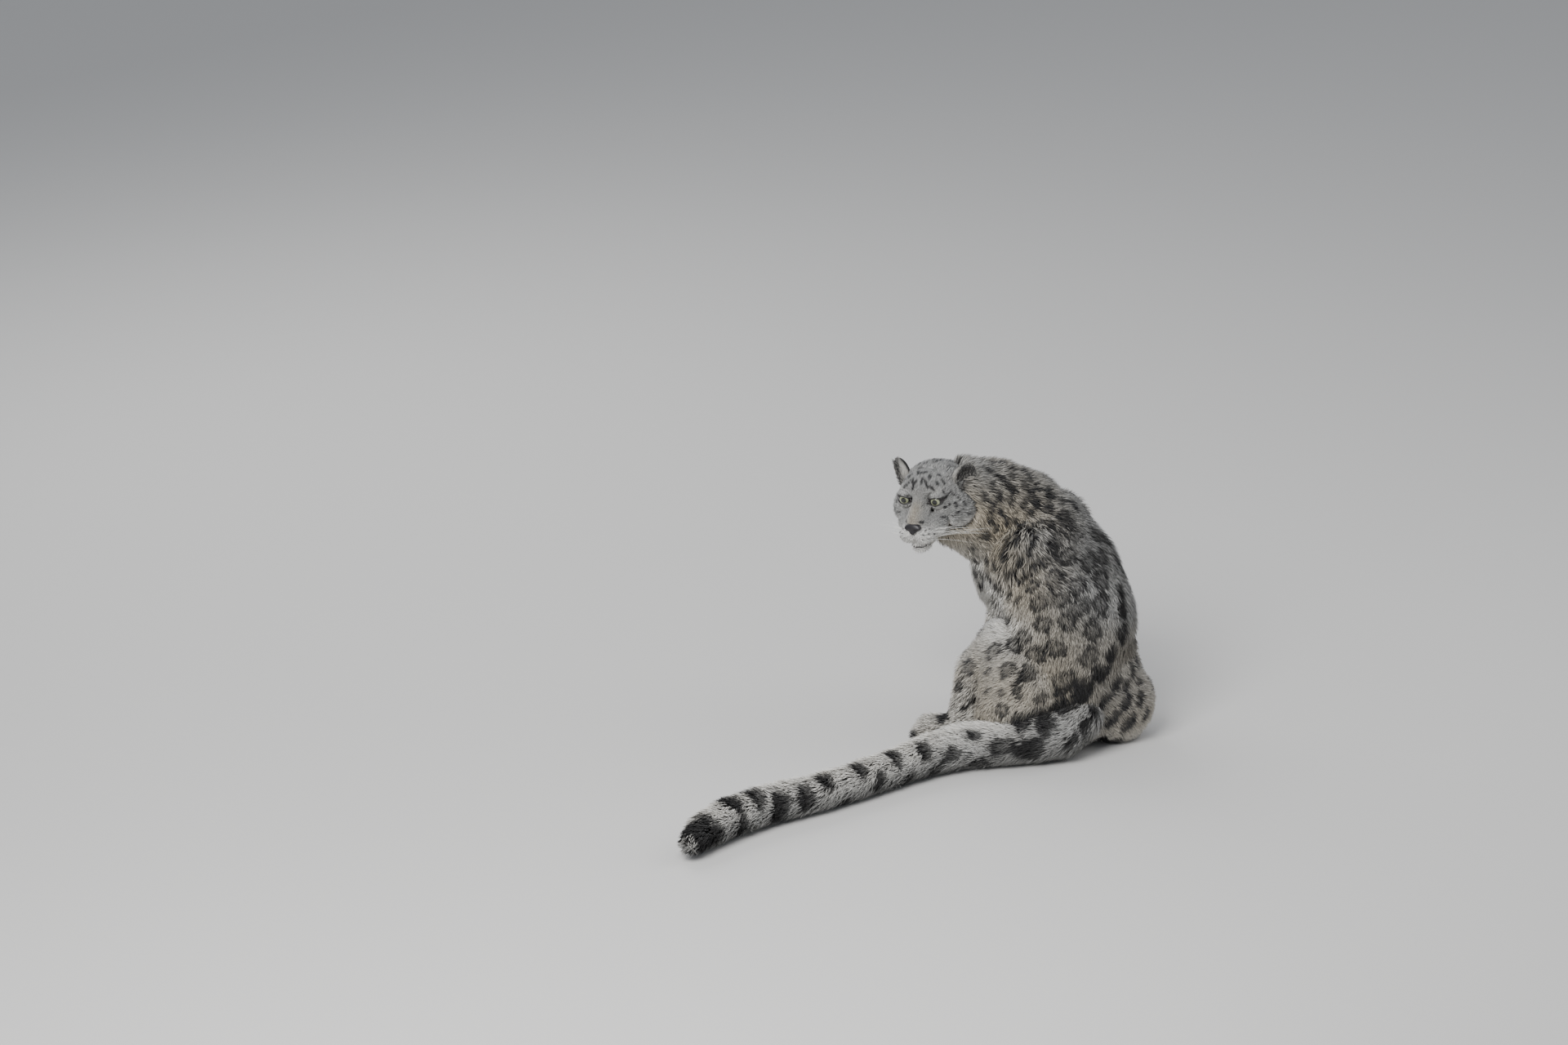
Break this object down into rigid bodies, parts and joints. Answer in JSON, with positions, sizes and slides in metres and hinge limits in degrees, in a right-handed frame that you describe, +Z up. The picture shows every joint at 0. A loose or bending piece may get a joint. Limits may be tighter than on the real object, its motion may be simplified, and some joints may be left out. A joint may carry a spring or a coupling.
{
  "type": "snow leopard model",
  "caption": "Life-size still model of a sitting snow leopard that looks back over its left shoulder, with its long tail laid out to its left.",
  "frame": {"origin": "on the floor, under the middle of the hips, where the seat rests", "axes": "+X to the animal's right at the hips, along the line of the tail, +Y the way the hips face, +Z up"},
  "size_m": [1.2011, 0.6232, 0.5971],
  "materials": {
    "coat": "long soft fur, smoke grey to cream with dark rosettes",
    "pale_coat": "long pale fur with dark spots and rings",
    "eye": "glossy, pale grey-green with a small dark pupil",
    "nose": "dark, slightly damp skin"
  },
  "bodies": {
    "root": {"ear_left": "coat", "ear_right": "coat", "eye_left": "eye", "eye_right": "eye", "foreleg_left": "coat", "foreleg_right": "coat", "forepaw_left": "pale_coat", "forepaw_right": "pale_coat", "head": "coat", "hind_foot_left": "pale_coat", "hind_foot_right": "pale_coat", "hind_leg_left": "coat", "hind_leg_right": "coat", "neck": "coat", "nose": "nose", "tail_1": "pale_coat", "tail_2": "pale_coat", "tail_3": "pale_coat", "tail_4": "pale_coat", "torso": "coat"}
  },
  "joints": []
}
